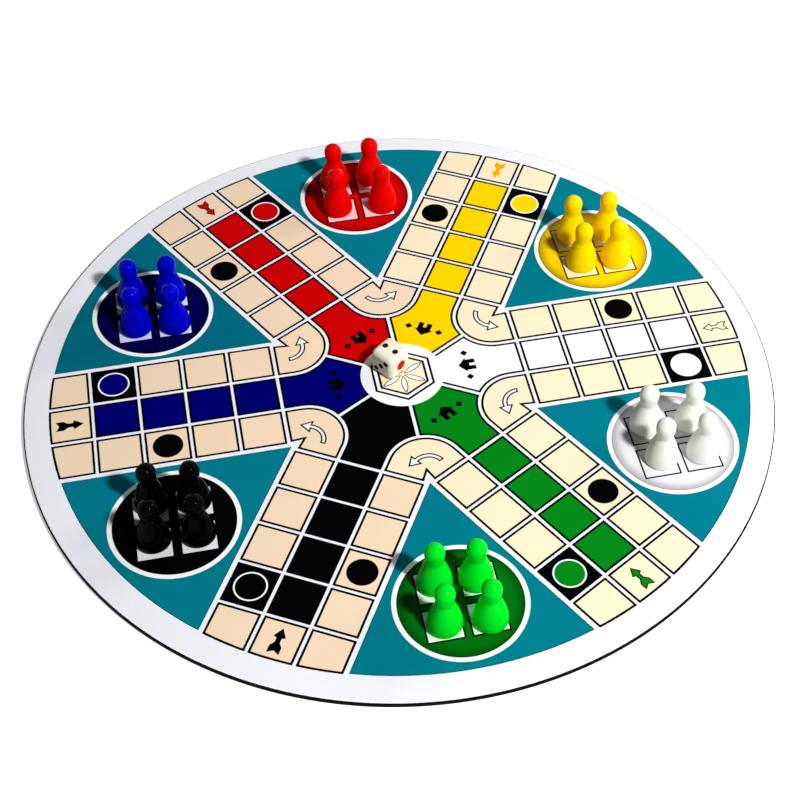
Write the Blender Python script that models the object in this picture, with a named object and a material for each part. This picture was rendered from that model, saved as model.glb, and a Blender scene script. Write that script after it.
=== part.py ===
"""A round ludo mat for six players, with its twenty-four pawns and its die, at real size.

Metres, +Z up. The origin is the centre of the mat's underside, which lies on the table.
+X runs along the arm of the white player, and the other arms follow every sixth of a turn.
"""

import math

import bmesh
import bpy
from mathutils import Matrix, Vector

# The mat: a printed cloth bonded to a rubber sheet, cut round together
MAT_DIAMETER = 0.300
RUBBER_THICKNESS = 0.0011
CLOTH_THICKNESS = 0.0004
CONTACT_GAP = 0.0003
MAT_SIDES = 96

# The pawns: a full bell-shaped body on a rounded foot, a narrow waist and a long round head
FOOT_DIAMETER = 0.0131
FOOT_ROUNDING = 0.0012
RECESS_DIAMETER = 0.0080
RECESS_DEPTH = 0.0005
WAIST_DIAMETER = 0.0064
HEAD_DIAMETER = 0.0076
PAWN_HEIGHT = 0.0228
HEAD_LENGTH = 0.0088
BELL_POWER = 0.55
PAWN_SIDES = 16
FOOT_STEPS = 2
BELL_STEPS = 6
CHEEK_STEPS = 2
CROWN_STEPS = 4

# The printed yards that the pawns stand in: four squares in a circle, near the mat's edge
SQUARE_MARGIN = 0.0005
SQUARE_SPACING = 0.0023
YARD_RIM = 0.0034
YARD_INSET = 0.0045
PLAIN_MARGIN = 0.0097
PRINT_SHIFT_X = 0.0005
PRINT_SHIFT_Y = 0.0014

# The die: a well-rounded cube with hollowed pips, the one being larger
DIE_SIZE = 0.0114
DIE_ROUNDING = 0.0020
DIE_ROUNDING_STEPS = 3
PIP_DIAMETER = 0.0025
PIP_GAP = 0.00015
ONE_PIP_DIAMETER = 0.0046
PIP_DEPTH = 0.0005
PIP_SIDES = 10
CUTTER_OVERRUN = 0.0004
DIE_FROM_CENTRE_X = -0.0039
DIE_FROM_CENTRE_Y = 0.0042
DIE_TURN_DEGREES = -52.8

# Where the ring in each pip's hollow lies, as shares of the pip's radius and depth
PIP_RING_SHARE = 0.6
PIP_RING_DEPTH_SHARE = 0.7

# Where each player's yard lies round the mat, in degrees from +X
YARD_BEARINGS = {"red": 90, "yellow": 30, "white": -30, "green": -90, "black": -150, "blue": 150}

# The side and the row of each square in a yard: back left, back right, front left, front right
SQUARE_PLACES = ((-1, 1), (1, 1), (-1, -1), (1, -1))

# How far each pawn stands off the middle of its square, to the right and to the back, as shares
# of the square's side, in the order of the squares
STANDING_SHARES = {
    "red": ((0.00, 0.05), (0.00, 0.10), (-0.10, 0.00), (0.15, -0.10)),
    "yellow": ((0.00, 0.10), (-0.05, 0.05), (0.00, 0.00), (-0.10, -0.05)),
    "white": ((0.05, 0.05), (0.15, -0.10), (0.15, 0.00), (0.15, -0.05)),
    "green": ((0.05, 0.00), (-0.05, -0.10), (0.05, -0.10), (0.05, -0.20)),
    "black": ((0.00, 0.10), (-0.05, -0.05), (-0.05, 0.05), (-0.05, 0.00)),
    "blue": ((0.10, 0.00), (0.05, -0.05), (0.10, 0.00), (0.05, -0.10)),
}

# Screen colours, 0 to 255, and roughness
PAWN_COLOURS = {
    "red": (225, 0, 0),
    "yellow": (255, 215, 0),
    "white": (238, 236, 226),
    "green": (0, 220, 30),
    "black": (8, 8, 10),
    "blue": (0, 0, 170),
}
MAT_FACE_COLOUR = (0, 125, 140)
RUBBER_COLOUR = (14, 14, 15)
IVORY_COLOUR = (240, 232, 208)
PAWN_ROUGHNESS = 0.15
DIE_ROUGHNESS = 0.25
CLOTH_ROUGHNESS = 0.75
RUBBER_ROUGHNESS = 0.8
SHARP_ANGLE = math.radians(35)
WELD_DISTANCE = 0.000005

# Sizes worked out from the ones above
MAT_RADIUS = MAT_DIAMETER / 2
FACE_BOTTOM = RUBBER_THICKNESS + CONTACT_GAP
FACE_TOP = FACE_BOTTOM + CLOTH_THICKNESS
STANDING_HEIGHT = FACE_TOP + CONTACT_GAP
PIP_SPACING = PIP_DIAMETER + PIP_GAP
SQUARE_SIDE = FOOT_DIAMETER + 2 * SQUARE_MARGIN
SQUARE_PITCH = SQUARE_SIDE + SQUARE_SPACING
YARD_RADIUS = math.hypot(SQUARE_SIDE + SQUARE_SPACING / 2, SQUARE_SIDE + SQUARE_SPACING / 2) + YARD_RIM
YARD_DISTANCE = MAT_RADIUS - PLAIN_MARGIN - YARD_INSET - YARD_RADIUS


def clear_scene():
    """Empties the scene, so that the file can be run again."""
    for thing in list(bpy.data.objects):
        bpy.data.objects.remove(thing, do_unlink=True)


def linear(level):
    """A screen colour level of 0 to 255 as the linear value that a shader takes."""
    share = level / 255
    return share / 12.92 if share <= 0.04045 else ((share + 0.055) / 1.055) ** 2.4


def material(name, colour, roughness):
    """A plain material of one screen colour."""
    made = bpy.data.materials.new(name)
    made.use_nodes = True
    shader = made.node_tree.nodes["Principled BSDF"]
    shader.inputs["Base Color"].default_value = (*(linear(level) for level in colour), 1.0)
    shader.inputs["Roughness"].default_value = roughness
    shader.inputs["Metallic"].default_value = 0.0
    made.diffuse_color = shader.inputs["Base Color"].default_value
    return made


def place(name, mesh, location, turn=0.0):
    """Puts a mesh in the scene as one named object."""
    thing = bpy.data.objects.new(name, mesh)
    thing.location = location
    thing.rotation_euler = (0.0, 0.0, turn)
    bpy.context.collection.objects.link(thing)
    return thing


def finish_mesh(shape, name, finish):
    """Turns a bmesh into a mesh with its faces out, one material and smooth rounds."""
    bmesh.ops.recalc_face_normals(shape, faces=shape.faces)
    mesh = bpy.data.meshes.new(name)
    shape.to_mesh(mesh)
    shape.free()
    mesh.materials.append(finish)
    mesh.shade_smooth()
    mesh.set_sharp_from_angle(angle=SHARP_ANGLE)
    return mesh


def turn_outline(outline, sides):
    """Spins an outline of (radius, height) points, from axis to axis, into a closed bmesh."""
    shape = bmesh.new()
    points = [shape.verts.new((radius, 0.0, height)) for radius, height in outline]
    edges = [shape.edges.new(pair) for pair in zip(points, points[1:])]
    bmesh.ops.spin(shape, geom=points + edges, cent=(0, 0, 0), axis=(0, 0, 1),
                   angle=math.tau, steps=sides, use_merge=True)
    bmesh.ops.remove_doubles(shape, verts=shape.verts, dist=WELD_DISTANCE)
    return shape


def make_disc(name, thickness, bottom, finish):
    """One round sheet of the mat, lying at its height."""
    outline = [(0.0, 0.0), (MAT_RADIUS, 0.0), (MAT_RADIUS, thickness), (0.0, thickness)]
    mesh = finish_mesh(turn_outline(outline, MAT_SIDES), name, finish)
    return place(name, mesh, (0.0, 0.0, bottom))


def pawn_outline():
    """The pawn's half outline, from the middle of its underside up to its crown."""
    foot = FOOT_DIAMETER / 2
    recess = RECESS_DIAMETER / 2
    waist = WAIST_DIAMETER / 2
    head = HEAD_DIAMETER / 2
    waist_height = PAWN_HEIGHT - HEAD_LENGTH
    crown_centre = PAWN_HEIGHT - head
    outline = [(0.0, RECESS_DEPTH), (recess - RECESS_DEPTH, RECESS_DEPTH), (recess, 0.0)]
    for step in range(FOOT_STEPS + 1):
        angle = math.pi / 2 * step / FOOT_STEPS
        outline.append((foot - FOOT_ROUNDING + FOOT_ROUNDING * math.sin(angle),
                        FOOT_ROUNDING - FOOT_ROUNDING * math.cos(angle)))
    for step in range(1, BELL_STEPS + 1):
        share = step / BELL_STEPS
        swell = (0.5 + 0.5 * math.cos(math.pi * share)) ** BELL_POWER
        outline.append((waist + (foot - waist) * swell,
                        FOOT_ROUNDING + (waist_height - FOOT_ROUNDING) * share))
    for step in range(1, CHEEK_STEPS + 1):
        share = step / CHEEK_STEPS
        outline.append((waist + (head - waist) * math.sin(math.pi / 2 * share),
                        waist_height + (crown_centre - waist_height) * share))
    for step in range(1, CROWN_STEPS):
        angle = math.pi / 2 * step / CROWN_STEPS
        outline.append((head * math.cos(angle), crown_centre + head * math.sin(angle)))
    outline.append((0.0, PAWN_HEIGHT))
    return outline


def make_pawns():
    """Four pawns of each colour, one standing in each printed square of its yard."""
    for player, bearing in YARD_BEARINGS.items():
        finish = material(player + "_plastic", PAWN_COLOURS[player], PAWN_ROUGHNESS)
        mesh = finish_mesh(turn_outline(pawn_outline(), PAWN_SIDES), player + "_pawn", finish)
        way_out = Matrix.Rotation(math.radians(bearing), 3, "Z") @ Vector((YARD_DISTANCE, 0.0, 0.0))
        yard = Vector((PRINT_SHIFT_X, PRINT_SHIFT_Y, STANDING_HEIGHT)) + way_out
        for number, (side, row) in enumerate(SQUARE_PLACES, start=1):
            across, along = STANDING_SHARES[player][number - 1]
            middle = Vector((side * SQUARE_PITCH / 2, row * SQUARE_PITCH / 2, 0.0))
            nudge = Vector((across * SQUARE_SIDE, along * SQUARE_SIDE, 0.0))
            place(f"{player}_pawn_{number}", mesh, yard + middle + nudge)


def pip_places(count):
    """Where a face's pips lie, as counts of the pips' spacing off the face's middle."""
    corners = [(1, 1), (-1, -1), (1, -1), (-1, 1)]
    if count == 1:
        return [(0, 0)]
    if count == 2:
        return [(1, 0), (-1, 0)]
    if count == 3:
        return [(0, 0), (1, 1), (-1, -1)]
    if count == 4:
        return corners
    if count == 5:
        return corners + [(0, 0)]
    return corners + [(0, 1), (0, -1)]


def pip_cutter():
    """All the pips of the die as one cutter of shallow round hollows."""
    quarter = math.pi / 2
    faces = {
        2: Matrix.Identity(4),
        5: Matrix.Rotation(math.pi, 4, "X"),
        1: Matrix.Rotation(quarter, 4, "Y"),
        6: Matrix.Rotation(-quarter, 4, "Y"),
        3: Matrix.Rotation(quarter, 4, "X"),
        4: Matrix.Rotation(-quarter, 4, "X"),
    }
    whole = bpy.data.meshes.new("pip_cutter")
    gathered = bmesh.new()
    for count, turn in faces.items():
        radius = (ONE_PIP_DIAMETER if count == 1 else PIP_DIAMETER) / 2
        outline = [(0.0, -PIP_DEPTH), (radius * PIP_RING_SHARE, -PIP_DEPTH * PIP_RING_DEPTH_SHARE),
                   (radius, 0.0), (radius, CUTTER_OVERRUN), (0.0, CUTTER_OVERRUN)]
        for across, along in pip_places(count):
            pip = turn_outline(outline, PIP_SIDES)
            spot = Vector((across * PIP_SPACING, along * PIP_SPACING, DIE_SIZE / 2))
            bmesh.ops.transform(pip, matrix=turn @ Matrix.Translation(spot), verts=pip.verts)
            bmesh.ops.recalc_face_normals(pip, faces=pip.faces)
            pip.to_mesh(whole)
            pip.free()
            gathered.from_mesh(whole)
    gathered.to_mesh(whole)
    gathered.free()
    return whole


def make_die():
    """The die, resting on its five, with its pips cut in."""
    shape = bmesh.new()
    bmesh.ops.create_cube(shape, size=DIE_SIZE)
    bmesh.ops.bevel(shape, geom=shape.edges[:], offset=DIE_ROUNDING, offset_type="OFFSET",
                    segments=DIE_ROUNDING_STEPS, profile=0.5, affect="EDGES", material=-1)
    mesh = finish_mesh(shape, "die", material("ivory_plastic", IVORY_COLOUR, DIE_ROUGHNESS))
    middle = (PRINT_SHIFT_X + DIE_FROM_CENTRE_X, PRINT_SHIFT_Y + DIE_FROM_CENTRE_Y,
              STANDING_HEIGHT + DIE_SIZE / 2)
    turn = math.radians(DIE_TURN_DEGREES)
    die = place("die", mesh, middle, turn)
    cutter = place("pip_cutter", pip_cutter(), middle, turn)
    cutter.hide_render = True
    cutter.display_type = "WIRE"
    hollows = die.modifiers.new("pips", "BOOLEAN")
    hollows.operation = "DIFFERENCE"
    hollows.solver = "EXACT"
    hollows.object = cutter


def main():
    """Builds the mat, the pawns and the die."""
    clear_scene()
    rubber = material("black_rubber", RUBBER_COLOUR, RUBBER_ROUGHNESS)
    cloth = material("printed_cloth", MAT_FACE_COLOUR, CLOTH_ROUGHNESS)
    make_disc("rubber_backing", RUBBER_THICKNESS, 0.0, rubber)
    make_disc("printed_face", CLOTH_THICKNESS, FACE_BOTTOM, cloth)
    make_pawns()
    make_die()


if __name__ == "__main__":
    main()
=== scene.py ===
"""The looks of a round ludo mat for six players, with its pawns and its die.

Everything is in metres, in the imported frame's own coordinates: +Z up, the middle of the mat's
underside at the origin, and +X along the white player's arm. The print is modelled as thin
closed shapes of ink, each a hair higher than the one under it, so that its edges stay crisp.
"""

from __future__ import annotations

import logging
import math
from collections.abc import Iterable, Sequence
from dataclasses import dataclass
from enum import Enum

import bmesh
import bpy
from mathutils import Matrix, Vector


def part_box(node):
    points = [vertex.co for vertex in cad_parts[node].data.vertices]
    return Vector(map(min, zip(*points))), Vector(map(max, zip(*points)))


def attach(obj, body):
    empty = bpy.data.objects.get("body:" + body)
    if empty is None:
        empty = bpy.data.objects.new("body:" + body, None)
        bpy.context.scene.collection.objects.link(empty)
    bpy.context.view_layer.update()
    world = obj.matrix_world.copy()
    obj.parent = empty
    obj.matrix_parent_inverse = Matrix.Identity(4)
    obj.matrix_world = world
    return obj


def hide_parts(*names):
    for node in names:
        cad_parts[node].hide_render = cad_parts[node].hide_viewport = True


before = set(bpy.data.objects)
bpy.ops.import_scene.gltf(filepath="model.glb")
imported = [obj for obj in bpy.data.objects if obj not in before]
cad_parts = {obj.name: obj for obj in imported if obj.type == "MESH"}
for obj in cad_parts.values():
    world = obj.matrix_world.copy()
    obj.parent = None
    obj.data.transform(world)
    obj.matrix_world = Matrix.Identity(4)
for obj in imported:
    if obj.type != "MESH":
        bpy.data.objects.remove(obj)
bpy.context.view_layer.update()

log = logging.getLogger("ludo_mat")

WELD = 0.000002
SHARP = math.radians(35)
UP = Vector((0.0, 0.0, 1.0))
FULL = math.tau
QUARTER = math.pi / 2
TWELFTH = math.pi / 6


def linear(colour: tuple[int, int, int]) -> tuple[float, float, float, float]:
    """Turns a screen colour from 0 to 255 into the linear colour that a shader takes."""
    shares = [level / 255 for level in colour]
    lit = [s / 12.92 if s <= 0.04045 else ((s + 0.055) / 1.055) ** 2.4 for s in shares]
    return lit[0], lit[1], lit[2], 1.0


class Signal:
    """A number that varies over a surface. Arithmetic on it adds Math nodes."""

    def __init__(self, graph: Graph, socket: bpy.types.NodeSocket) -> None:
        """Wraps one output socket of a graph."""
        self.graph = graph
        self.socket = socket

    def _math(self, operation: str, first: Signal | float, second: Signal | float = 0.0) -> Signal:
        """Adds one Math node and gives its result."""
        return self.graph.signal("ShaderNodeMath", {"operation": operation}, {0: first, 1: second})

    def __add__(self, other: Signal | float) -> Signal:
        """Adds."""
        return self._math("ADD", self, other)

    __radd__ = __add__

    def __sub__(self, other: Signal | float) -> Signal:
        """Subtracts."""
        return self._math("SUBTRACT", self, other)

    def __rsub__(self, other: float) -> Signal:
        """Subtracts from a number."""
        return self._math("SUBTRACT", other, self)

    def __mul__(self, other: Signal | float) -> Signal:
        """Multiplies."""
        return self._math("MULTIPLY", self, other)

    __rmul__ = __mul__

    def sine(self) -> Signal:
        """The sine of the number."""
        return self._math("SINE", self)

    def magnitude(self) -> Signal:
        """The number without its sign."""
        return self._math("ABSOLUTE", self)

    def at_least(self, other: Signal | float) -> Signal:
        """The larger of the two."""
        return self._math("MAXIMUM", self, other)


class Graph:
    """The nodes of one material or of the world, made by one method."""

    def __init__(self, tree: bpy.types.NodeTree) -> None:
        """Empties a node tree and takes it over."""
        self.nodes = tree.nodes
        self.links = tree.links
        self.nodes.clear()

    def node(self, kind: str, settings: dict | None = None, inputs: dict | None = None) -> bpy.types.Node:
        """Adds a node.

        Args:
            kind: The node's type.
            settings: The node's own settings, which are set first.
            inputs: For each socket, by name or place, a value, a signal or another socket.

        Returns:
            The new node.
        """
        made = self.nodes.new(kind)
        for setting, value in (settings or {}).items():
            setattr(made, setting, value)
        for socket, value in (inputs or {}).items():
            if isinstance(value, Signal):
                self.links.new(value.socket, made.inputs[socket])
            elif isinstance(value, bpy.types.NodeSocket):
                self.links.new(value, made.inputs[socket])
            else:
                made.inputs[socket].default_value = value
        return made

    def signal(self, kind: str, settings: dict | None = None, inputs: dict | None = None,
               output: str | int = 0) -> Signal:
        """Adds a node, as node() does, and wraps one of its outputs."""
        return Signal(self, self.node(kind, settings, inputs).outputs[output])

    def place(self) -> bpy.types.NodeSocket:
        """The place on the piece, in metres."""
        return self.node("ShaderNodeTexCoord").outputs["Object"]

    def parts(self, vector: bpy.types.NodeSocket) -> list[Signal]:
        """The three numbers of a vector."""
        split = self.node("ShaderNodeSeparateXYZ", None, {0: vector})
        return [Signal(self, socket) for socket in split.outputs]

    def noise(self, place: bpy.types.NodeSocket, size: float, detail: float = 2.0) -> Signal:
        """Soft noise from 0 to 1, with blotches of that size in metres and so many finer octaves."""
        return self.signal("ShaderNodeTexNoise", None, {"Vector": place, "Scale": 1 / size, "Detail": detail})

    def ramp(self, value: Signal, reach: Sequence[float], result: Sequence[float]) -> Signal:
        """Maps a value smoothly from one range to another, and holds it at both ends.

        Args:
            value: The value.
            reach: The low and the high end of the range that it is mapped from.
            result: What it becomes at each end.

        Returns:
            The mapped value.
        """
        inputs = {"Value": value, "From Min": reach[0], "From Max": reach[1],
                  "To Min": result[0], "To Max": result[1]}
        return self.signal("ShaderNodeMapRange", {"interpolation_type": "SMOOTHSTEP"}, inputs)

    def tint(self, colour: tuple[int, int, int], amount: Signal) -> bpy.types.NodeSocket:
        """A screen colour whose every channel is multiplied by a varying amount."""
        grey = self.node("ShaderNodeCombineXYZ", None, {0: amount, 1: amount, 2: amount})
        inputs = {0: linear(colour)[:3], 1: grey.outputs[0]}
        return self.node("ShaderNodeVectorMath", {"operation": "MULTIPLY"}, inputs).outputs[0]

    def bump(self, height: Signal, depth: float,
             under: bpy.types.NodeSocket | None = None) -> bpy.types.NodeSocket:
        """Turns a height from 0 to 1 into a normal.

        Args:
            height: The height, where 1 stands for the full depth.
            depth: The relief's depth in metres.
            under: The normal of a coarser relief that this one lies on.

        Returns:
            The bent normal.
        """
        inputs = {"Strength": 1.0, "Distance": depth, "Height": height}
        if under is not None:
            inputs["Normal"] = under
        return self.node("ShaderNodeBump", None, inputs).outputs[0]


def surface(name: str) -> tuple[bpy.types.Material, Graph]:
    """Makes an empty material with its graph."""
    material = bpy.data.materials.new(name)
    material.use_nodes = True
    return material, Graph(material.node_tree)


def finish_surface(graph: Graph, inputs: dict) -> None:
    """Ends a material's graph in a Principled BSDF with those inputs."""
    shader = graph.node("ShaderNodeBsdfPrincipled", None, inputs)
    graph.node("ShaderNodeOutputMaterial", None, {"Surface": shader.outputs[0]})


@dataclass(frozen=True)
class PrintedCloth:
    """Fine woven polyester with one colour printed on it.

    The weave is relief and a little shade, and the cloth lies in faint waves. A round field's
    colour deepens towards its edge, where it has a middle and a radius.
    """

    colour: tuple[int, int, int]
    middle: tuple[float, float, float] = (0.0, 0.0, 0.0)
    radius: float = 0.0
    deepening: float = 0.45
    deep_from_share: float = 0.80
    shine: float = 0.01
    grain: float = 0.10
    thread: float = 0.00050
    thread_depth: float = 0.000030
    wave: float = 0.040
    wave_depth: float = 0.00035
    mottle: float = 0.014
    mottle_share: float = 0.05
    roughness: float = 0.82
    fluff_roughness: float = 0.10

    def edge(self, graph: Graph, place: bpy.types.NodeSocket) -> Signal:
        """How near the round field's edge a place is, from 0 in its middle to 1 at the edge."""
        off = graph.signal("ShaderNodeVectorMath", {"operation": "DISTANCE"},
                           {0: place, 1: self.middle}, "Value")
        return graph.ramp(off, (self.radius * self.deep_from_share, self.radius), (0.0, 1.0))

    def build(self, name: str) -> bpy.types.Material:
        """Makes the material under that name."""
        material, graph = surface(name)
        place = graph.place()
        along, across, _ = graph.parts(place)
        turns = math.pi / self.thread
        weave = (along * turns).sine() * (across * turns).sine() * 0.5 + 0.5
        fluff = graph.noise(place, self.thread * 2, 3.0)
        cloudy = graph.noise(place, self.mottle)
        waves = graph.noise(place, self.wave, 1.0)
        cloth = (weave + fluff) * 0.5
        shade = 1.0 + self.grain * (cloth - 0.5) + self.mottle_share * (cloudy - 0.5)
        if self.radius:
            shade = shade * (1.0 - self.deepening * self.edge(graph, place))
        folds = graph.bump(waves, self.wave_depth)
        finish_surface(graph, {
            "Base Color": graph.tint(self.colour, shade),
            "Roughness": self.roughness + self.fluff_roughness * fluff,
            "Specular IOR Level": self.shine,
            "Normal": graph.bump(cloth, self.thread_depth, folds),
        })
        return material


@dataclass(frozen=True)
class FoamRubber:
    """Black foam rubber with an embossed underside that grips the table."""

    colour: tuple[int, int, int] = (9, 9, 10)
    stud: float = 0.0013
    stud_depth: float = 0.00012
    pore: float = 0.00025
    pore_share: float = 0.3
    shade_low: float = 0.7
    shade_span: float = 0.6
    roughness: float = 0.7
    pore_roughness: float = 0.2
    shine: float = 0.03

    def build(self, name: str) -> bpy.types.Material:
        """Makes the material under that name."""
        material, graph = surface(name)
        place = graph.place()
        along, across, _ = graph.parts(place)
        turns = math.pi / self.stud
        studs = (along * turns).sine().magnitude() * (across * turns).sine().magnitude()
        pores = graph.noise(place, self.pore, 4.0)
        finish_surface(graph, {
            "Base Color": graph.tint(self.colour, self.shade_low + self.shade_span * pores),
            "Roughness": self.roughness + self.pore_roughness * pores,
            "Specular IOR Level": self.shine,
            "Normal": graph.bump(studs * (1 - self.pore_share) + pores * self.pore_share, self.stud_depth),
        })
        return material


@dataclass(frozen=True)
class MouldedPlastic:
    """Glossy moulded plastic, a little translucent, with a fine parting line up two sides.

    The piece's UV map gives the way round it, from 0 to 1. A piece without a parting line has
    a seam_share of 0 and needs no UV map.
    """

    colour: tuple[int, int, int]
    glow: float = 0.10
    glow_depth: float = 0.0008
    dullness: float = 0.10
    shine: float = 0.05
    bend: float = 1.33
    ripple: float = 0.0030
    ripple_depth: float = 0.00005
    shade_low: float = 0.96
    shade_span: float = 0.08
    specks_per_ripple: int = 8
    speck_roughness: float = 0.06
    seam_share: float = 0.0035
    seam_roughness: float = 0.12
    seam_height: float = 0.5

    def seam(self, graph: Graph) -> Signal | float:
        """1 on the parting line and 0 off it."""
        if not self.seam_share:
            return 0.0
        round_it = graph.parts(graph.node("ShaderNodeTexCoord").outputs["UV"])[0]
        off_seam = (round_it * FULL).sine().magnitude()
        return (1.0 - off_seam * (1 / (self.seam_share * FULL))).at_least(0.0)

    def build(self, name: str) -> bpy.types.Material:
        """Makes the material under that name."""
        material, graph = surface(name)
        place = graph.place()
        seam = self.seam(graph)
        ripples = graph.noise(place, self.ripple)
        specks = graph.noise(place, self.ripple / self.specks_per_ripple, 3.0)
        finish_surface(graph, {
            "Base Color": graph.tint(self.colour, self.shade_low + self.shade_span * ripples),
            "Roughness": self.dullness + self.speck_roughness * specks + self.seam_roughness * seam,
            "Specular IOR Level": self.shine,
            "IOR": self.bend,
            "Subsurface Weight": self.glow,
            "Subsurface Radius": tuple(0.2 + 0.8 * level for level in linear(self.colour)[:3]),
            "Subsurface Scale": self.glow_depth,
            "Normal": graph.bump(ripples + self.seam_height * seam, self.ripple_depth),
        })
        return material


@dataclass(frozen=True)
class PipPaint:
    """Paint in a pip's hollow, slightly uneven."""

    colour: tuple[int, int, int]
    shine: float = 0.10
    blot: float = 0.0006
    blot_depth: float = 0.00003
    shade_low: float = 0.85
    shade_span: float = 0.3
    roughness: float = 0.3
    blot_roughness: float = 0.25

    def build(self, name: str) -> bpy.types.Material:
        """Makes the material under that name."""
        material, graph = surface(name)
        blots = graph.noise(graph.place(), self.blot, 3.0)
        finish_surface(graph, {
            "Base Color": graph.tint(self.colour, self.shade_low + self.shade_span * blots),
            "Roughness": self.roughness + self.blot_roughness * blots,
            "Specular IOR Level": self.shine,
            "Normal": graph.bump(blots, self.blot_depth),
        })
        return material


class Ink(Enum):
    """The inks of the print, and the bare cloth, as screen colours."""

    CLOTH = (242, 243, 250)
    WHITE = (250, 251, 252)
    CREAM = (250, 233, 198)
    # Cream made darker and pinker: painted shade for the cells of the arms on the -X side, away from the key
    # lamp.
    CREAM_IN_SHADE = (246, 219, 188)
    BLACK = (2, 2, 3)
    TEAL = (0, 121, 138)
    # Teal made darker: painted shade for the blue player's sector on the -X side, away from the key lamp.
    TEAL_IN_SHADE = (0, 108, 127)
    DEEP_TEAL = (0, 78, 90)
    RED = (206, 2, 4)
    YELLOW = (252, 212, 0)
    AMBER = (240, 176, 0)
    GREEN = (4, 130, 22)
    FERN = (2, 106, 16)
    BLUE = (0, 0, 112)
    NAVY = (0, 0, 76)
    ROSE = (250, 216, 216)
    MINT = (226, 248, 226)
    LILAC = (222, 222, 244)
    PEARL = (228, 228, 230)
    HONEY = (252, 240, 196)
    SILVER = (236, 232, 238)
    ASH = (176, 152, 158)
    BRONZE = (120, 92, 8)
    UMBER = (66, 50, 6)
    MAROON = (96, 0, 0)
    FOREST = (0, 62, 12)


class InkShelf:
    """Makes the cloth finish of each ink once."""

    def __init__(self) -> None:
        """Starts with no finish made."""
        self.made: dict[Ink, bpy.types.Material] = {}

    def take(self, ink: Ink) -> bpy.types.Material:
        """The finish of an ink."""
        if ink not in self.made:
            self.made[ink] = PrintedCloth(ink.value).build(ink.name.lower() + "_cloth")
        return self.made[ink]


INKS = InkShelf()


@dataclass(frozen=True)
class Player:
    """One player's colours, and which way their arm of the star points, in degrees.

    The yard shift is how far the printed yard lies off its true place, along the mat's X and Y,
    and the yard scale is how large it is printed.
    """

    name: str
    arm_bearing: float
    yard_shift: tuple[float, float]
    ink: Ink
    arrow_ink: Ink
    square_ink: Ink
    line_ink: Ink
    rim_ink: Ink
    plastic: MouldedPlastic
    yard_ink: Ink
    cell_ink: Ink = Ink.CREAM
    sector_ink: Ink = Ink.TEAL
    yard_scale: float = 1.0

    @property
    def yard_bearing(self) -> float:
        """Which way the player's yard lies, a twelfth of a turn clockwise of the arm."""
        return self.arm_bearing - 30


PLAYERS = (
    Player("white", 0, (0.0009, -0.0007), Ink.WHITE, Ink.CREAM, Ink.SILVER, Ink.BLACK, Ink.ASH,
           MouldedPlastic((240, 240, 231), glow=0.15), Ink.SILVER, yard_scale=1.03),
    Player("yellow", 60, (-0.0011, -0.0004), Ink.YELLOW, Ink.AMBER, Ink.HONEY, Ink.UMBER, Ink.BRONZE,
           MouldedPlastic((255, 218, 0), glow=0.1), Ink.YELLOW, yard_scale=1.02),
    # The red, blue and black arms lie on the -X side, away from the key lamp, so their cells get cream in
    # painted shade.
    Player("red", 120, (-0.0001, -0.0008), Ink.RED, Ink.RED, Ink.ROSE, Ink.BLACK, Ink.MAROON,
           MouldedPlastic((226, 0, 0)), Ink.RED, Ink.CREAM_IN_SHADE),
    # The blue sector gets teal in painted shade.
    Player("blue", 180, (0.0005, -0.0003), Ink.BLUE, Ink.BLACK, Ink.LILAC, Ink.BLACK, Ink.BLACK,
           MouldedPlastic((0, 0, 190)), Ink.NAVY, Ink.CREAM_IN_SHADE, Ink.TEAL_IN_SHADE),
    Player("black", 240, (-0.0009, -0.0006), Ink.BLACK, Ink.BLACK, Ink.PEARL, Ink.BLACK, Ink.BLACK,
           MouldedPlastic((2, 2, 3), glow=0.0, dullness=0.05, shine=0.04, bend=1.33), Ink.BLACK, Ink.CREAM_IN_SHADE),
    Player("green", 300, (0.0001, -0.0011), Ink.GREEN, Ink.GREEN, Ink.MINT, Ink.BLACK, Ink.FOREST,
           MouldedPlastic((0, 224, 36), glow=0.2), Ink.FERN),
)


class Layer(Enum):
    """How many hairs of ink lie over the cloth in a printed layer."""

    GROUND = 1
    CELLS = 2
    MARKS = 3
    SIGNS = 4
    FLOURISH = 5


@dataclass(frozen=True)
class Heights:
    """The heights in the mat, worked out from the frame."""

    standing: float
    cloth_thickness: float = 0.0003
    hair: float = 0.00002
    soak: float = 0.00006

    @classmethod
    def from_frame(cls) -> Heights:
        """Reads how high the pawns stand."""
        return cls(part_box("red_pawn_1")[0][2])

    @property
    def cloth_top(self) -> float:
        """The top of the bare cloth."""
        return self.standing - self.hair * (len(Layer) + 1)

    @property
    def cloth_bottom(self) -> float:
        """The underside of the cloth, a hair over the rubber."""
        return self.cloth_top - self.cloth_thickness

    def ink_top(self, layer: Layer) -> float:
        """The top of a printed layer."""
        return self.cloth_top + self.hair * layer.value


class Plane(Enum):
    """The plane that a pen draws in: flat on the mat, or upright for a turned profile."""

    FLAT = 0
    UPRIGHT = 1


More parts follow.
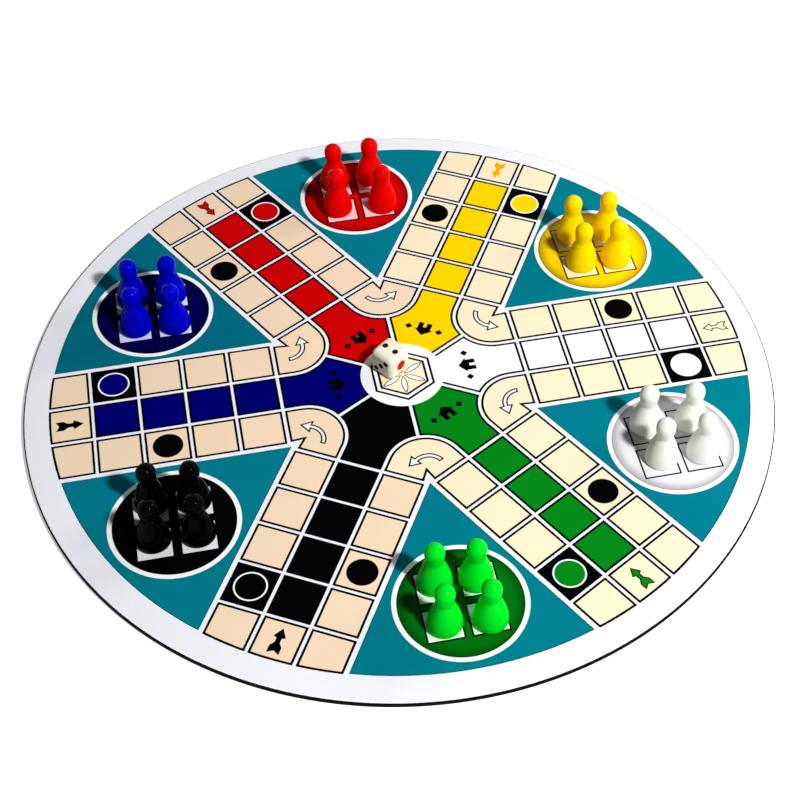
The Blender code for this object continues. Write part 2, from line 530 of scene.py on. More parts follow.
class Pen:
    """Draws one outline with bmesh operators, run by run and arc by arc."""

    def __init__(self, first: float, second: float, plane: Plane = Plane.FLAT) -> None:
        """Sets the pen down.

        Args:
            first: The place along the plane's first axis, which is X.
            second: The place along its second axis, Y or Z.
            plane: The plane that it draws in.
        """
        self.plane = plane
        self.shape = bmesh.new()
        self.start = self.shape.verts.new(self._point(first, second))
        self.last = self.start

    def _point(self, first: float, second: float) -> Vector:
        """A place in the pen's plane."""
        return Vector((first, second, 0.0)) if self.plane is Plane.FLAT else Vector((first, 0.0, second))

    def run(self, first: float, second: float) -> Pen:
        """Draws a straight run to a place.

        Args:
            first: The place along the plane's first axis.
            second: The place along its second axis.

        Returns:
            The pen, so that strokes can follow each other.
        """
        made = bmesh.ops.extrude_vert_indiv(self.shape, verts=[self.last])["verts"]
        bmesh.ops.translate(self.shape, vec=self._point(first, second) - self.last.co, verts=made)
        self.last = made[0]
        return self

    def swing(self, first: float, second: float, angle: float, steps: int) -> Pen:
        """Draws an arc from where the pen stands.

        Args:
            first: The arc's centre along the plane's first axis.
            second: The centre along its second axis.
            angle: How far it swings, in radians, anticlockwise where positive.
            steps: How many straight bits make the arc.

        Returns:
            The pen.
        """
        axis = UP if self.plane is Plane.FLAT else Vector((0.0, -1.0, 0.0))
        made = bmesh.ops.spin(self.shape, geom=[self.last], cent=self._point(first, second),
                              axis=axis, angle=angle, steps=steps)
        self.last = [part for part in made["geom_last"] if isinstance(part, bmesh.types.BMVert)][0]
        return self

    def fill(self) -> bmesh.types.BMesh:
        """Closes the outline, fills it with one face and gives the shape."""
        if (self.last.co - self.start.co).length > WELD:
            self.shape.edges.new((self.last, self.start))
        bmesh.ops.remove_doubles(self.shape, verts=self.shape.verts, dist=WELD)
        bmesh.ops.contextual_create(self.shape, geom=self.shape.edges[:])
        return self.shape

    def turn(self, sides: int) -> bmesh.types.BMesh:
        """Spins an upright profile, drawn from axis to axis, into a closed body.

        Args:
            sides: How many sides the body has.

        Returns:
            The body, its faces pointing out.
        """
        bmesh.ops.spin(self.shape, geom=self.shape.verts[:] + self.shape.edges[:], cent=(0.0, 0.0, 0.0),
                       axis=UP, angle=FULL, steps=sides, use_merge=True)
        bmesh.ops.remove_doubles(self.shape, verts=self.shape.verts, dist=WELD)
        bmesh.ops.recalc_face_normals(self.shape, faces=self.shape.faces)
        return self.shape


def disc(radius: float, sides: int, middle: Sequence[float] = (0.0, 0.0)) -> bmesh.types.BMesh:
    """A filled circle round a middle on the mat."""
    shape = bmesh.new()
    place = Matrix.Translation((middle[0], middle[1], 0.0))
    bmesh.ops.create_circle(shape, cap_ends=True, segments=sides, radius=radius, matrix=place)
    return shape


def oblong(low: Sequence[float], high: Sequence[float]) -> bmesh.types.BMesh:
    """A filled rectangle between two corners."""
    shape = bmesh.new()
    size = Matrix.Diagonal((high[0] - low[0], high[1] - low[1], 1.0, 1.0))
    middle = Matrix.Translation(((low[0] + high[0]) / 2, (low[1] + high[1]) / 2, 0.0))
    bmesh.ops.create_grid(shape, x_segments=1, y_segments=1, size=0.5, matrix=middle @ size)
    return shape


def add_piece(name: str, shape: bmesh.types.BMesh, finishes: Iterable[bpy.types.Material],
              smooth: bool = True) -> bpy.types.Object:
    """Makes a finished shape into an object that sits at the origin.

    Args:
        name: The piece's name.
        shape: Its shape, in its place. It is freed.
        finishes: Its finishes, in the order of the faces' material numbers.
        smooth: Whether its round faces are shaded smooth.

    Returns:
        The new object.
    """
    mesh = bpy.data.meshes.new(name)
    shape.to_mesh(mesh)
    shape.free()
    for finish in finishes:
        mesh.materials.append(finish)
    if smooth:
        mesh.shade_smooth()
        mesh.set_sharp_from_angle(angle=SHARP)
    piece = bpy.data.objects.new(name, mesh)
    bpy.context.scene.collection.objects.link(piece)
    log.info("%s: %d faces", name, len(mesh.polygons))
    return piece


class Motif:
    """One printed motif: flat closed shapes of ink that soak into the cloth from above."""

    def __init__(self, name: str, heights: Heights) -> None:
        """Starts an empty motif."""
        self.name = name
        self.heights = heights
        self.shape = bmesh.new()
        self.finishes: list[bpy.types.Material] = []

    def _number(self, ink: Ink | bpy.types.Material) -> int:
        """The material number of an ink or a finish in this motif."""
        finish = INKS.take(ink) if isinstance(ink, Ink) else ink
        if finish not in self.finishes:
            self.finishes.append(finish)
        return self.finishes.index(finish)

    def stamp(self, outline: bmesh.types.BMesh, layer: Layer, fill: Ink | bpy.types.Material,
              lines: Sequence[tuple[float, Ink]] = (), at: Matrix | None = None) -> None:
        """Adds one shape, with lines of other inks along its edge.

        Args:
            outline: A shape of one face. It is freed.
            layer: The printed layer that it lies in.
            fill: The ink or the finish inside its lines.
            lines: The width and ink of each line, from the edge inwards.
            at: Where the shape goes, or None where it is drawn in place.
        """
        face = outline.faces[:][0]
        for width, ink in lines:
            made = bmesh.ops.inset_individual(outline, faces=[face], thickness=width, use_even_offset=True)
            for ring in made["faces"]:
                ring.material_index = self._number(ink)
        face.material_index = self._number(fill)
        bottom = self.heights.cloth_top - self.heights.soak
        raised = bmesh.ops.extrude_face_region(outline, geom=outline.faces[:])["geom"]
        lifted = [part for part in raised if isinstance(part, bmesh.types.BMVert)]
        bmesh.ops.translate(outline, vec=UP * (self.heights.ink_top(layer) - bottom), verts=lifted)
        bmesh.ops.recalc_face_normals(outline, faces=outline.faces)
        lift = Matrix.Translation((0.0, 0.0, bottom))
        bmesh.ops.transform(outline, matrix=lift @ (at or Matrix.Identity(4)), verts=outline.verts)
        holder = bpy.data.meshes.new("stamp")
        outline.to_mesh(holder)
        outline.free()
        self.shape.from_mesh(holder)
        bpy.data.meshes.remove(holder)

    def lay(self, bearing: float, shift: tuple[float, float]) -> bpy.types.Object:
        """Turns the motif to its bearing on the mat and makes its object.

        Args:
            bearing: Which way the motif's first axis points, in degrees.
            shift: Where the print's centre lies on the mat.

        Returns:
            The piece, riding on the mat.
        """
        place = Matrix.Translation((*shift, 0.0)) @ Matrix.Rotation(math.radians(bearing), 4, "Z")
        bmesh.ops.transform(self.shape, matrix=place, verts=self.shape.verts)
        piece = add_piece(self.name, self.shape, self.finishes, smooth=False)
        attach(piece, "mat")
        return piece


@dataclass(frozen=True)
class ArmPrint:
    """An arm of the star: three columns of cells, the goal field and their marks.

    It is drawn along +X from the middle of the star. The sign's parts are shares of its width,
    and the arrow's are distances from its point.
    """

    heights: Heights
    shift: tuple[float, float]
    outer_radius: float = 0.1405
    first_row: float = 0.0504
    row_pitch: float = 0.0184
    cell_length: float = 0.01733
    cell_width: float = 0.01684
    column_gap: float = 0.00125
    rows: int = 5
    line: float = 0.00092
    start_row: int = 3
    start_disc: float = 0.0063
    start_ring: float = 0.00062
    safe_row: int = 2
    safe_disc: float = 0.0059
    goal_end: float = 0.04915
    hollow_centre: float = 0.0489
    parting: float = 0.0013
    sign_out: float = 0.0268
    sign_width: float = 0.0078
    sign_wall: float = 0.36
    sign_door: float = 0.09
    sign_floor: float = 0.44
    sign_lintel: float = 0.32
    sign_eaves: float = 0.48
    sign_ridge: float = 0.46
    gem_off: float = 0.84
    gem_reach: float = 0.20
    arrow_out: float = 0.1271
    arrow_half: float = 0.0023
    arrow_shaft: float = 0.0010
    arrow_barb: float = 0.0037
    arrow_sweep: float = 0.0005
    arrow_feather: float = 0.0061
    arrow_spread: float = 0.0078
    arrow_notch: float = 0.0095
    arrow_tail: float = 0.0108
    arrow_line: float = 0.00050
    end_steps: int = 6
    arc_steps: int = 20
    disc_sides: int = 56

    @property
    def column_half(self) -> float:
        """Half the width of the middle column."""
        return self.cell_width / 2

    def cell(self, row: int, low: float) -> bmesh.types.BMesh:
        """One cell, with a round outer end in the last row.

        Args:
            row: The cell's row, counted from 0 at the middle of the star.
            low: Where it starts across the arm.

        Returns:
            A shape of one face.
        """
        start = self.first_row + row * self.row_pitch
        high = low + self.cell_width
        if row < self.rows - 1:
            return oblong((start, low), (start + self.cell_length, high))
        from_low = math.asin(low / self.outer_radius)
        swing = math.asin(high / self.outer_radius) - from_low
        pen = Pen(start, low).run(self.outer_radius * math.cos(from_low), low)
        return pen.swing(0.0, 0.0, swing, self.end_steps).run(start, high).fill()

    def goal(self) -> bmesh.types.BMesh:
        """The goal field, between the hollows of two corner cells, up to the star's middle."""
        along = self.hollow_centre * math.cos(TWELFTH)
        across = self.hollow_centre * math.sin(TWELFTH)
        hollow = across - self.column_half
        swing = TWELFTH * 2 - math.asin(self.parting / 2 / hollow)
        tip = self.parting / 2 / math.sin(TWELFTH)
        pen = Pen(self.goal_end, -self.column_half).run(self.goal_end, self.column_half)
        pen.run(along, self.column_half).swing(along, across, -swing, self.arc_steps).run(tip, 0.0)
        pen.run(along - hollow * math.sin(swing), hollow * math.cos(swing) - across)
        return pen.swing(along, -across, -swing, self.arc_steps).fill()

    def sign(self, motif: Motif) -> None:
        """A plain small house between two diamonds, its roof towards the star's middle."""
        size = self.sign_width
        wall = size * self.sign_wall
        door = size * self.sign_door
        floor = self.sign_out + size * self.sign_floor
        lintel = floor - size * self.sign_lintel
        eaves = floor - size * self.sign_eaves
        pen = Pen(floor, -wall).run(floor, -door).run(lintel, -door).run(lintel, door)
        pen.run(floor, door).run(floor, wall).run(eaves, wall).run(eaves, size / 2)
        pen.run(self.sign_out - size * self.sign_ridge, 0.0).run(eaves, -size / 2).run(eaves, -wall)
        motif.stamp(pen.fill(), Layer.MARKS, Ink.BLACK)
        gem = size * self.gem_reach
        for side in (-1, 1):
            off = side * size * self.gem_off
            pen = Pen(self.sign_out - gem, off).run(self.sign_out, off + gem)
            pen.run(self.sign_out + gem, off).run(self.sign_out, off - gem)
            motif.stamp(pen.fill(), Layer.MARKS, Ink.BLACK)

    def arrow(self, motif: Motif, ink: Ink) -> None:
        """The small feathered arrow in the outermost cell, where a pawn turns inwards.

        Args:
            motif: The motif that it is added to.
            ink: The arrow's ink.
        """
        half, shaft, barb = self.arrow_half, self.arrow_shaft, self.arrow_barb
        side = ((barb, half), (barb + self.arrow_sweep, shaft), (self.arrow_feather, shaft),
                (self.arrow_spread, half), (self.arrow_tail, half))
        pen = Pen(self.arrow_out, 0.0)
        for along, across in side:
            pen.run(self.arrow_out + along, -across)
        pen.run(self.arrow_out + self.arrow_notch, 0.0)
        for along, across in reversed(side):
            pen.run(self.arrow_out + along, across)
        lines = [] if ink is Ink.AMBER else [(self.arrow_line, Ink.BLACK)]
        motif.stamp(pen.fill(), Layer.MARKS, ink, lines)

    def build(self, player: Player) -> bpy.types.Object:
        """Prints one player's arm.

        Args:
            player: Whose arm it is.

        Returns:
            The finished piece.
        """
        motif = Motif(player.name + "_arm_print", self.heights)
        column = self.cell_width + self.column_gap
        edge = [(self.line, Ink.BLACK)]
        for row in range(self.rows):
            for side in (-1, 0, 1):
                outline = self.cell(row, side * column - self.column_half)
                starts = side == -1 and row == self.start_row
                leads = side == 0 and row < self.rows - 1
                ink = Ink.BLACK if starts else player.ink if leads else player.cell_ink
                motif.stamp(outline, Layer.CELLS, ink, edge)
        middle = self.first_row + self.cell_length / 2
        start = (middle + self.start_row * self.row_pitch, -column)
        safe = (middle + self.safe_row * self.row_pitch, column)
        motif.stamp(disc(self.start_disc, self.disc_sides, start), Layer.MARKS, player.ink,
                    [(self.start_ring, Ink.WHITE)])
        motif.stamp(disc(self.safe_disc, self.disc_sides, safe), Layer.MARKS, Ink.BLACK)
        motif.stamp(self.goal(), Layer.CELLS, player.ink, edge)
        self.sign(motif)
        self.arrow(motif, player.arrow_ink)
        return motif.lay(player.arm_bearing, self.shift)


@dataclass(frozen=True)
class CornerPrint:
    """The round-ended cell between two arms, with a curved arrow that shows the way of play."""

    heights: Heights
    shift: tuple[float, float]
    end: float = 0.04915
    near_side: float = 0.00967
    far_side: float = 0.0259
    notch: float = 0.05104
    round_centre: float = 0.0489
    line: float = 0.00092
    arc_steps: int = 28
    arrow_centre: tuple[float, float] = (0.04974, 0.00102)
    arrow_radius: float = 0.00643
    arrow_from: float = 118.5
    arrow_to: float = 216.0
    arrow_band: float = 0.0022
    arrow_half: float = 0.0031
    arrow_length: float = 0.0049
    arrow_line: float = 0.00062

    def outline(self) -> bmesh.types.BMesh:
        """The cell's outline, drawn along the bearing between its two arms."""
        turn = Matrix.Rotation(TWELFTH, 2)
        near = turn @ Vector((self.end, -self.near_side))
        far = turn @ Vector((self.end, -self.far_side))
        radius = self.round_centre * math.sin(TWELFTH) - self.near_side
        pen = Pen(self.notch, 0.0).run(far.x, far.y).run(near.x, near.y)
        pen.run(self.round_centre - radius * math.sin(TWELFTH), radius * math.cos(TWELFTH))
        pen.swing(self.round_centre, 0.0, TWELFTH * 4, self.arc_steps)
        return pen.run(near.x, -near.y).run(far.x, -far.y).fill()

    def arrow(self) -> bmesh.types.BMesh:
        """The curved arrow's outline."""
        middle = Vector(self.arrow_centre)
        tail = math.radians(self.arrow_from)
        neck = math.radians(self.arrow_to)
        out_at_tail = Vector((math.cos(tail), math.sin(tail)))
        out_at_neck = Vector((math.cos(neck), math.sin(neck)))
        ahead = Vector((-out_at_neck.y, out_at_neck.x))
        base = middle + out_at_neck * self.arrow_radius
        outer = self.arrow_radius + self.arrow_band / 2
        inner = self.arrow_radius - self.arrow_band / 2
        first = middle + out_at_tail * outer
        pen = Pen(first.x, first.y).swing(middle.x, middle.y, neck - tail, self.arc_steps // 2)
        for spot in (base + out_at_neck * self.arrow_half, base + ahead * self.arrow_length,
                     base - out_at_neck * self.arrow_half, middle + out_at_neck * inner):
            pen.run(spot.x, spot.y)
        return pen.swing(middle.x, middle.y, tail - neck, self.arc_steps // 2).fill()

    def build(self, player: Player) -> bpy.types.Object:
        """Prints the corner cell between a player's arm and the next one clockwise.

        Args:
            player: Whose corner it is.

        Returns:
            The finished piece.
        """
        motif = Motif(player.name + "_corner_print", self.heights)
        motif.stamp(self.outline(), Layer.CELLS, player.cell_ink, [(self.line, Ink.BLACK)])
        motif.stamp(self.arrow(), Layer.MARKS, Ink.WHITE, [(self.arrow_line, Ink.BLACK)])
        return motif.lay(player.yard_bearing, self.shift)


@dataclass(frozen=True)
class YardPrint:
    """A teal sector between two arms, with the round yard where a player's pawns start."""

    heights: Heights
    shift: tuple[float, float]
    outer_radius: float = 0.1401
    arm_side: float = 0.02834
    sector_line: float = 0.00035
    distance: float = 0.1108
    rim_radius: float = 0.0250
    rim_width: float = 0.0018
    rim_line: float = 0.00045
    square_side: float = 0.0142
    square_pitch: float = 0.0164
    square_line: float = 0.00068
    arc_steps: int = 32
    disc_sides: int = 96

    def sector(self) -> bmesh.types.BMesh:
        """The sector's outline, drawn along its own bearing."""
        half = TWELFTH - math.asin(self.arm_side / self.outer_radius)
        pen = Pen(self.arm_side / math.sin(TWELFTH), 0.0)
        pen.run(self.outer_radius * math.cos(half), -self.outer_radius * math.sin(half))
        return pen.swing(0.0, 0.0, 2 * half, self.arc_steps).fill()

    def build(self, player: Player) -> bpy.types.Object:
        """Prints one player's yard in its sector, its squares in line with the mat's own axes.

        Args:
            player: Whose yard it is.

        Returns:
            The finished piece.
        """
        motif = Motif(player.name + "_yard_print", self.heights)
        scale = player.yard_scale
        rim = self.rim_radius * scale
        motif.stamp(self.sector(), Layer.GROUND, player.sector_ink, [(self.sector_line, Ink.DEEP_TEAL)])
        turn = Matrix.Rotation(math.radians(player.yard_bearing), 4, "Z")
        shift = Vector((*player.yard_shift, 0.0))
        middle = Matrix.Translation(Vector((self.distance, 0.0, 0.0)) + turn.inverted() @ shift)
        lies_at = Vector((*self.shift, self.heights.ink_top(Layer.CELLS))) + turn @ middle.translation
        field = PrintedCloth(player.yard_ink.value, lies_at.to_tuple(), rim - self.rim_width)
        motif.stamp(disc(rim, self.disc_sides), Layer.CELLS,
                    field.build(player.name + "_yard_cloth"),
                    [(self.rim_width, Ink.WHITE), (self.rim_line, player.rim_ink)], middle)
        straight = middle @ turn.inverted()
        half = self.square_side / 2 * scale
        off = self.square_pitch / 2 * scale
        for side in (-1, 1):
            for row in (-1, 1):
                step = Matrix.Translation((side * off, row * off, 0.0))
                motif.stamp(oblong((-half, -half), (half, half)), Layer.MARKS, player.square_ink,
                            [(self.square_line, player.line_ink)], straight @ step)
        return motif.lay(player.yard_bearing, self.shift)


@dataclass(frozen=True)
class MiddlePrint:
    """The white disc in the star's middle, with a plain hexagon round a six-petalled rosette."""

    heights: Heights
    shift: tuple[float, float]
    radius: float = 0.0169
    hexagon_radius: float = 0.0140
    hexagon_line: float = 0.00095
    hexagon_band: float = 0.0013
    petals: int = 6
    petal_gap: float = 0.0006
    petal_length: float = 0.0096
    petal_line: float = 0.00038
    arc_steps: int = 14
    disc_sides: int = 96

    def petal(self) -> bmesh.types.BMesh:
        """One petal: two arcs of a sixth of a turn."""
        middle = self.petal_gap + self.petal_length / 2
        reach = self.petal_length * math.cos(TWELFTH)
        pen = Pen(self.petal_gap, 0.0).swing(middle, -reach, -2 * TWELFTH, self.arc_steps)
        return pen.swing(middle, reach, -2 * TWELFTH, self.arc_steps).fill()

    def build(self) -> bpy.types.Object:
        """Prints the disc, the hexagon and the rosette."""
        motif = Motif("middle_print", self.heights)
        motif.stamp(disc(self.radius, self.disc_sides), Layer.MARKS, Ink.WHITE)
        lines = [(self.hexagon_line, Ink.BLACK), (self.hexagon_band, Ink.WHITE),
                 (self.hexagon_line, Ink.BLACK)]
        motif.stamp(disc(self.hexagon_radius, self.petals), Layer.SIGNS, Ink.CREAM, lines)
        for petal in range(self.petals):
            turn = Matrix.Rotation(FULL * (petal + 0.5) / self.petals, 4, "Z")
            motif.stamp(self.petal(), Layer.FLOURISH, Ink.WHITE, [(self.petal_line, Ink.BLACK)], turn)
        return motif.lay(0.0, self.shift)


@dataclass(frozen=True)
class PlayMat:
    """The mat: black foam rubber and the printed cloth that is bonded to it."""

    heights: Heights
    shift: tuple[float, float] = (0.0005, 0.0011)
    sides: int = 320
    rim_width: float = 0.0006
    rim_steps: int = 4
    rim_drop: float = 0.00006
    rim_power: int = 3
    foot_rounding: float = 0.00010
    foot_steps: int = 3
    edge_share: float = 0.85
    cloth_inset: float = 0.00050
    bright_edge_band: float = 0.0005

    @property
    def radius(self) -> float:
        """The mat's radius."""
        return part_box("rubber_backing")[1][0]

    def rim(self, pen: Pen, radius: float, heights: tuple[float, float], outwards: bool) -> None:
        """Draws the rim, where the cut edge is pressed down.

        Args:
            pen: The pen that draws.
            radius: The radius of the cut edge.
            heights: The height where the rim starts, and the height at the cut edge.
            outwards: Whether it is drawn from the middle out or back.
        """
        inner, outer = heights
        steps = range(self.rim_steps + 1)
        for step in steps if outwards else reversed(steps):
            share = step / self.rim_steps
            pen.run(radius - self.rim_width * (1 - share), inner + (outer - inner) * share ** self.rim_power)

    def rubber(self) -> bpy.types.Object:
        """The rubber sheet."""
        edge = self.foot_rounding
        top = self.heights.cloth_bottom - self.heights.hair
        pen = Pen(0.0, 0.0, Plane.UPRIGHT).run(self.radius - edge, 0.0)
        pen.swing(self.radius - edge, edge, QUARTER, self.foot_steps)
        self.rim(pen, self.radius, (top, top - self.rim_drop), outwards=False)
        pen.run(0.0, top)
        piece = add_piece("foam_rubber_sheet", pen.turn(self.sides), [FoamRubber().build("foam_rubber")])
        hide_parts("rubber_backing")
        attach(piece, "mat")
        return piece

    def cloth(self) -> bpy.types.Object:
        """The cloth, whose rim follows the pressed edge of the rubber."""
        low = self.heights.cloth_bottom
        radius = self.radius - self.cloth_inset
        pen = Pen(0.0, low, Plane.UPRIGHT)
        self.rim(pen, radius, (low, low - self.rim_drop), outwards=True)
        edge_top = low - self.rim_drop + self.heights.cloth_thickness * self.edge_share
        self.rim(pen, radius, (self.heights.cloth_top, edge_top), outwards=False)
        pen.run(0.0, self.heights.cloth_top)
        shape = pen.turn(self.sides)
        # The outermost band of the cloth gets white ink, a painted highlight along the cut edge.
        for face in shape.faces:
            if face.calc_center_median().xy.length > radius - self.bright_edge_band:
                face.material_index = 1
        piece = add_piece("printed_cloth_face", shape, [INKS.take(Ink.CLOTH), INKS.take(Ink.WHITE)])
        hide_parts("printed_face")
        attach(piece, "mat")
        return piece

    def prints(self) -> list[bpy.types.Object]:
        """Everything that is printed on the cloth."""
        arm = ArmPrint(self.heights, self.shift)
        corner = CornerPrint(self.heights, self.shift)
        yard = YardPrint(self.heights, self.shift)
        made = [MiddlePrint(self.heights, self.shift).build()]
        for player in PLAYERS:
            made.append(arm.build(player))
            made.append(corner.build(player))
            made.append(yard.build(player))
        return made

    def build(self) -> None:
        """Makes the mat: the rubber sheet, the cloth and its print."""
        rubber = self.rubber()
        cloth = self.cloth()
        across = 2 * self.radius
        math.pi * self.radius ** 2
        self.prints()


@dataclass(frozen=True)
class PawnSet:
    """Twenty-four pawns: a full bell on a rounded foot, a narrow waist and a long round head.

    Each pawn's parting line is turned a share of a turn further than the last one's.
    """

    sides: int = 72
    foot_rounding: float = 0.0012
    foot_steps: int = 6
    recess_radius: float = 0.0040
    recess_depth: float = 0.0005
    waist: float = 0.0032
    head: float = 0.0038
    head_length: float = 0.0088
    bell_power: float = 0.55
    bell_steps: int = 26
    cheek_steps: int = 12
    crown_steps: int = 16
    spin_share: float = 0.17

    def body(self, foot: float, height: float) -> bmesh.types.BMesh:
        """The turned body of a pawn that stands at the origin.

        Args:
            foot: The foot's radius.
            height: The pawn's height.

        Returns:
            The closed body.
        """
        neck = height - self.head_length
        crown = height - self.head
        lip = self.recess_radius
        pen = Pen(0.0, self.recess_depth, Plane.UPRIGHT).run(lip - self.recess_depth, self.recess_depth)
        pen.run(lip, 0.0).run(foot - self.foot_rounding, 0.0)
        pen.swing(foot - self.foot_rounding, self.foot_rounding, QUARTER, self.foot_steps)
        for step in range(1, self.bell_steps + 1):
            share = step / self.bell_steps
            swell = (0.5 + 0.5 * math.cos(math.pi * share)) ** self.bell_power
            pen.run(self.waist + (foot - self.waist) * swell,
                    self.foot_rounding + (neck - self.foot_rounding) * share)
        for step in range(1, self.cheek_steps + 1):
            share = step / self.cheek_steps
            pen.run(self.waist + (self.head - self.waist) * math.sin(QUARTER * share),
                    neck + (crown - neck) * share)
        return pen.swing(0.0, crown, QUARTER, self.crown_steps).turn(self.sides)

    @staticmethod
    def wrap(shape: bmesh.types.BMesh) -> None:
        """Gives a turned body at the origin a UV map: the way round it, and the height."""
        layer = shape.loops.layers.uv.new("way_round")
        for face in shape.faces:
            middle = face.calc_center_median()
            bearing = math.atan2(middle.y, middle.x)
            for loop in face.loops:
                spot = loop.vert.co
                off = 0.0
                if math.hypot(spot.x, spot.y) > WELD:
                    off = math.remainder(math.atan2(spot.y, spot.x) - bearing, FULL)
                loop[layer].uv = ((bearing + off) / FULL, spot.z)

    def build(self) -> None:
        """Makes every pawn where the frame has it."""
        for player in PLAYERS:
            plastic = player.plastic.build(player.name + "_pawn_plastic")
            for number in range(1, 5):
                node = f"{player.name}_pawn_{number}"
                low, high = (Vector(corner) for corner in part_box(node))
                middle = (low + high) / 2
                shape = self.body((high.x - low.x) / 2, high.z - low.z)
                self.wrap(shape)
                spin = Matrix.Rotation(FULL * number * self.spin_share, 4, "Z")
                place = Matrix.Translation((middle.x, middle.y, low.z))
                bmesh.ops.transform(shape, matrix=place @ spin, verts=shape.verts)
                piece = add_piece(f"{player.name}_moulded_pawn_{number}", shape, [plastic])
                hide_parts(node)
                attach(piece, node)


@dataclass(frozen=True)
class Die:
    """The die: a well-rounded cube whose hollowed pips are painted black, and the one red."""

    turn_degrees: float = -52.8
    rounding: float = 0.0023
    rounding_steps: int = 8
    hold: float = 0.0003
    pip_radius: float = 0.00125
    pip_gap: float = 0.00015
    one_radius: float = 0.0023
    pip_depth: float = 0.0005
    pip_sides: int = 40
    pip_steps: int = 7
    overrun: float = 0.0004

    def pip_places(self, count: int) -> list[tuple[int, int]]:
        """Where a face's pips lie, as counts of the pips' spacing off the face's middle."""
        corners = [(1, 1), (-1, -1), (1, -1), (-1, 1)]
        return {
            1: [(0, 0)],
            2: [(1, 0), (-1, 0)],
            3: [(0, 0), (1, 1), (-1, -1)],
            4: corners,
            5: corners + [(0, 0)],
            6: corners + [(0, 1), (0, -1)],
        }[count]

    def pip(self, radius: float) -> bmesh.types.BMesh:
        """One pip's cutter: a shallow bowl with a straight wall above it."""
        ball = (radius ** 2 + self.pip_depth ** 2) / (2 * self.pip_depth)
        pen = Pen(0.0, -self.pip_depth, Plane.UPRIGHT)
        pen.swing(0.0, ball - self.pip_depth, math.asin(radius / ball), self.pip_steps)
        return pen.run(radius, self.overrun).run(0.0, self.overrun).turn(self.pip_sides)

    def cutter(self, size: float) -> bpy.types.Mesh:
        """All the pips' cutters in one mesh, round a die at the origin."""
        faces = {
            2: Matrix.Identity(4),
            5: Matrix.Rotation(math.pi, 4, "X"),
            1: Matrix.Rotation(QUARTER, 4, "Y"),
            6: Matrix.Rotation(-QUARTER, 4, "Y"),
            3: Matrix.Rotation(QUARTER, 4, "X"),
            4: Matrix.Rotation(-QUARTER, 4, "X"),
        }
        spacing = 2 * self.pip_radius + self.pip_gap
        whole = bpy.data.meshes.new("pip_cutter")
        gathered = bmesh.new()
        for count, turn in faces.items():
            for across, along in self.pip_places(count):
                pip = self.pip(self.one_radius if count == 1 else self.pip_radius)
                spot = Matrix.Translation((across * spacing, along * spacing, size / 2))
                bmesh.ops.transform(pip, matrix=turn @ spot, verts=pip.verts)
                for face in pip.faces:
                    face.material_index = 2 if count == 1 else 1
                pip.to_mesh(whole)
                pip.free()
                gathered.from_mesh(whole)
        gathered.to_mesh(whole)
        gathered.free()
        return whole

    def build(self) -> None:
        """Makes the die where the frame has it."""
        low, high = (Vector(corner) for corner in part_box("die"))
        size = high.z - low.z
        shape = bmesh.new()
        bmesh.ops.create_cube(shape, size=size)
        bmesh.ops.bevel(shape, geom=shape.edges[:], offset=self.rounding, offset_type="OFFSET",
                        segments=self.rounding_steps, profile=0.5, affect="EDGES", material=-1)
        flats = sorted(shape.faces, key=lambda face: face.calc_area())[-6:]
        bmesh.ops.inset_individual(shape, faces=flats, thickness=self.hold, use_even_offset=True)
        bmesh.ops.recalc_face_normals(shape, faces=shape.faces)
        finishes = [MouldedPlastic((245, 238, 216), glow=0.08, seam_share=0.0).build("ivory_plastic"),
                    PipPaint((5, 5, 6)).build("black_pip_paint"),
                    PipPaint((196, 14, 22)).build("red_pip_paint")]
        piece = add_piece("pipped_die", shape, finishes)
        cutter = bpy.data.objects.new("pip_cutter", self.cutter(size))
        bpy.context.scene.collection.objects.link(cutter)
        hollows = piece.modifiers.new("pips", "BOOLEAN")
        hollows.operation = "DIFFERENCE"
        hollows.solver = "EXACT"
        hollows.object = cutter
        carved = piece.evaluated_get(bpy.context.evaluated_depsgraph_get())
        mesh = bpy.data.meshes.new_from_object(carved)
        piece.modifiers.clear()
        piece.data = mesh
        bpy.data.objects.remove(cutter)
        mesh.transform(Matrix.Translation((low + high) / 2)
                       @ Matrix.Rotation(math.radians(self.turn_degrees), 4, "Z"))
        mesh.shade_smooth()
        mesh.set_sharp_from_angle(angle=SHARP)
        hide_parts("die")
        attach(piece, "die")


@dataclass(frozen=True)
class Lamp:
    """One soft box of light, aimed at a place on the table."""

    name: str
    place: tuple[float, float, float]
    aim: tuple[float, float, float]
    width: float
    height: float
    power: float

    def build(self) -> None:
        """Hangs the lamp."""
        light = bpy.data.lights.new(self.name, "AREA")
        light.shape = "RECTANGLE"
        light.size = self.width
        light.size_y = self.height
        light.energy = self.power
        lamp = bpy.data.objects.new(self.name, light)
        place = Vector(self.place)
        turn = (place - Vector(self.aim)).to_track_quat("Z", "Y")
        lamp.matrix_world = Matrix.LocRotScale(place, turn, None)
        bpy.context.scene.collection.objects.link(lamp)


LAMPS = (
    Lamp("key_box", place=(0.489, -0.697, 0.983), aim=(0.45, 0.25, 0.0), width=0.12, height=0.09, power=19.6),
    Lamp("side_box", place=(0.560, 0.240, 0.360), aim=(0.0, 0.0, 0.0), width=0.30, height=0.20, power=1.6),
)


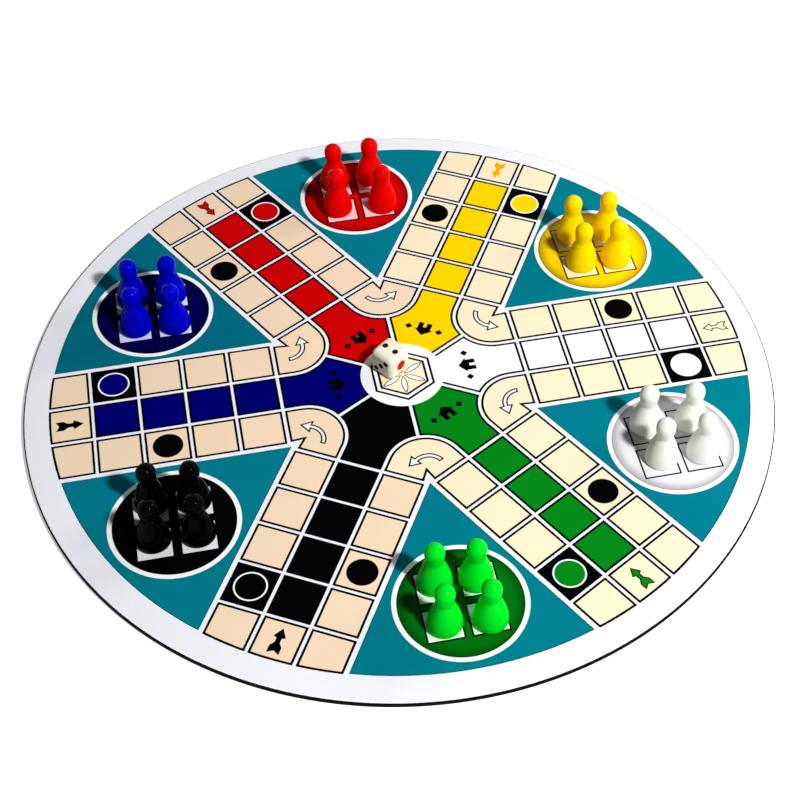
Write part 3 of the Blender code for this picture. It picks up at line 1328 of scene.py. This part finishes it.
@dataclass(frozen=True)
class Studio:
    """The pale floor, the lamps, the world and the camera."""

    floor_half: float = 6.0
    floor_drop: float = 0.0002
    floor_white: float = 0.9
    lift_near: float = 0.45
    lift_far: float = 1.0
    lift_from: float = 0.16
    lift_to: float = 0.60
    world_level: float = 0.06
    camera_place: tuple[float, float, float] = (-0.0722, -0.4259, 0.4834)
    camera_right: tuple[float, float, float] = (0.9769654, -0.21304905, 0.01219487)
    camera_up: tuple[float, float, float] = (0.14961234, 0.7245763, 0.67275949)
    lens: float = 72.0
    sensor: float = 36.0
    frame_pixels: float = 800.0
    axis_pixel_x: float = 466.15
    axis_pixel_y: float = 365.66

    def seen(self, graph: Graph) -> Signal:
        """1 for the rays that see the background: from the camera, off gloss or through glass."""
        path = graph.node("ShaderNodeLightPath")
        camera, glossy, through = (Signal(graph, path.outputs[name]) for name in
                                   ("Is Camera Ray", "Is Glossy Ray", "Is Transmission Ray"))
        return camera.at_least(glossy).at_least(through)

    def floor(self) -> None:
        """A white floor that is lifted to plain white for the camera and keeps the shadow."""
        material, graph = surface("pale_floor")
        white = (self.floor_white, self.floor_white, self.floor_white, 1.0)
        diffuse = graph.node("ShaderNodeBsdfDiffuse", None, {"Color": white})
        off = graph.signal("ShaderNodeVectorMath", {"operation": "LENGTH"}, {0: graph.place()}, "Value")
        lift = graph.ramp(off, (self.lift_from, self.lift_to), (self.lift_near, self.lift_far))
        glow = graph.node("ShaderNodeEmission", None, {"Color": lift, "Strength": self.seen(graph)})
        both = graph.node("ShaderNodeAddShader", None, {0: diffuse.outputs[0], 1: glow.outputs[0]})
        graph.node("ShaderNodeOutputMaterial", None, {"Surface": both.outputs[0]})
        shape = bmesh.new()
        place = Matrix.Translation((0.0, 0.0, -self.floor_drop))
        bmesh.ops.create_grid(shape, x_segments=1, y_segments=1, size=self.floor_half, matrix=place)
        add_piece("floor", shape, [material], smooth=False)

    def world(self) -> None:
        """An even white world that lights the object softly, and that shows as plain white."""
        world = bpy.data.worlds.new("studio")
        world.use_nodes = True
        bpy.context.scene.world = world
        graph = Graph(world.node_tree)
        white = (1.0, 1.0, 1.0, 1.0)
        lights = graph.node("ShaderNodeBackground", None, {"Color": white, "Strength": self.world_level})
        shows = graph.node("ShaderNodeBackground", None, {"Color": white, "Strength": 1.0})
        mixed = graph.node("ShaderNodeMixShader", None,
                           {0: self.seen(graph), 1: lights.outputs[0], 2: shows.outputs[0]})
        graph.node("ShaderNodeOutputWorld", None, {"Surface": mixed.outputs[0]})

    def camera(self) -> None:
        """The camera, at the photograph's viewing angle."""
        lens = bpy.data.cameras.new("camera")
        lens.lens = self.lens
        lens.sensor_width = self.sensor
        lens.shift_x = 0.5 - self.axis_pixel_x / self.frame_pixels
        lens.shift_y = self.axis_pixel_y / self.frame_pixels - 0.5
        lens.clip_start = 0.01
        camera = bpy.data.objects.new("camera", lens)
        right = Vector(self.camera_right)
        above = Vector(self.camera_up)
        axes = Matrix((right, above, right.cross(above))).transposed()
        camera.matrix_world = Matrix.Translation(self.camera_place) @ axes.to_4x4()
        bpy.context.scene.collection.objects.link(camera)
        bpy.context.scene.camera = camera

    def build(self) -> None:
        """Sets the studio up."""
        bpy.context.scene.view_settings.view_transform = "Standard"
        self.camera()
        self.floor()
        self.world()
        for lamp in LAMPS:
            lamp.build()


def main() -> None:
    """Builds every sub-assembly in order."""
    logging.basicConfig(level=logging.INFO, format="%(name)s: %(message)s")
    Studio().build()
    PlayMat(Heights.from_frame()).build()
    PawnSet().build()
    Die().build()


if __name__ == "__main__":
    main()
